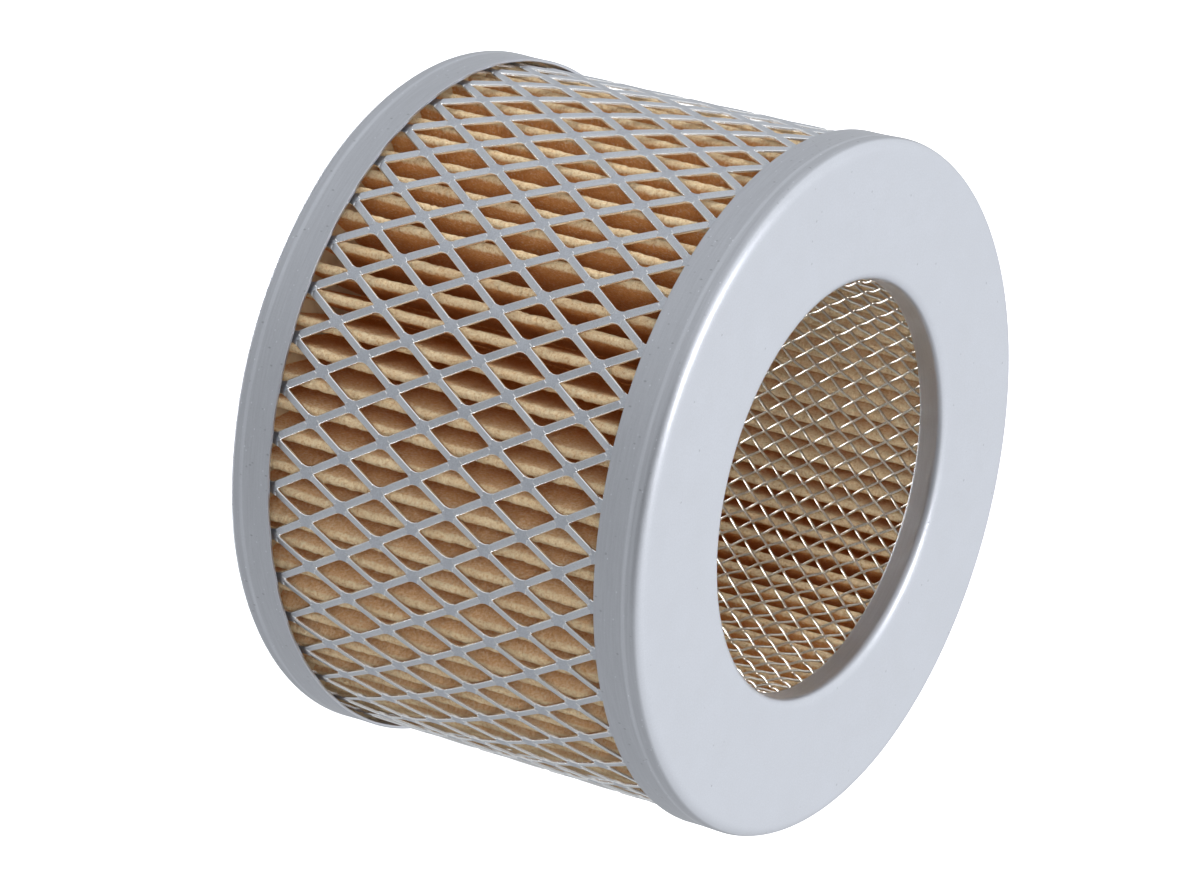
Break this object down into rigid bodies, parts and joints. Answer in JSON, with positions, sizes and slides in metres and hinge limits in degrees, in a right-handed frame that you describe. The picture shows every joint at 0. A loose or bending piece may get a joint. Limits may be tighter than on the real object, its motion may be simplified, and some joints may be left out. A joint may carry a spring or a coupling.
{
  "type": "compressed air filter cartridge",
  "caption": "Round pleated-paper filter cartridge with pressed sheet-metal end caps, an expanded-metal jacket and a woven wire inner tube, open through the middle.",
  "frame": {"origin": "centre of the rear end cap's face, on the surface that the cartridge stands on", "axes": "+Z along the cartridge's axis, from the rear end cap to the front end cap"},
  "size_m": [0.102, 0.102, 0.07],
  "materials": {
    "cap_steel": "galvanised sheet, faint circumferential brushing",
    "jacket_steel": "galvanised expanded metal, satin",
    "filter_paper": "creped filter paper, matt",
    "clip_steel": "satin",
    "mesh_wire": "bright drawn wire",
    "weld_metal": "satin",
    "potting_adhesive": "cured adhesive, slightly glossy"
  },
  "bodies": {
    "root": {"front_end_cap": "cap_steel", "rear_end_cap": "cap_steel", "outer_mesh_jacket": "jacket_steel", "jacket_seam_welds": "weld_metal", "pleated_media": "filter_paper", "media_seam_clip": "clip_steel", "inner_mesh_right_hand_wires_even": "mesh_wire", "inner_mesh_right_hand_wires_odd": "mesh_wire", "inner_mesh_left_hand_wires_even": "mesh_wire", "inner_mesh_left_hand_wires_odd": "mesh_wire", "inner_mesh_seam_welds": "weld_metal", "front_potting": "potting_adhesive", "rear_potting": "potting_adhesive"}
  },
  "joints": []
}
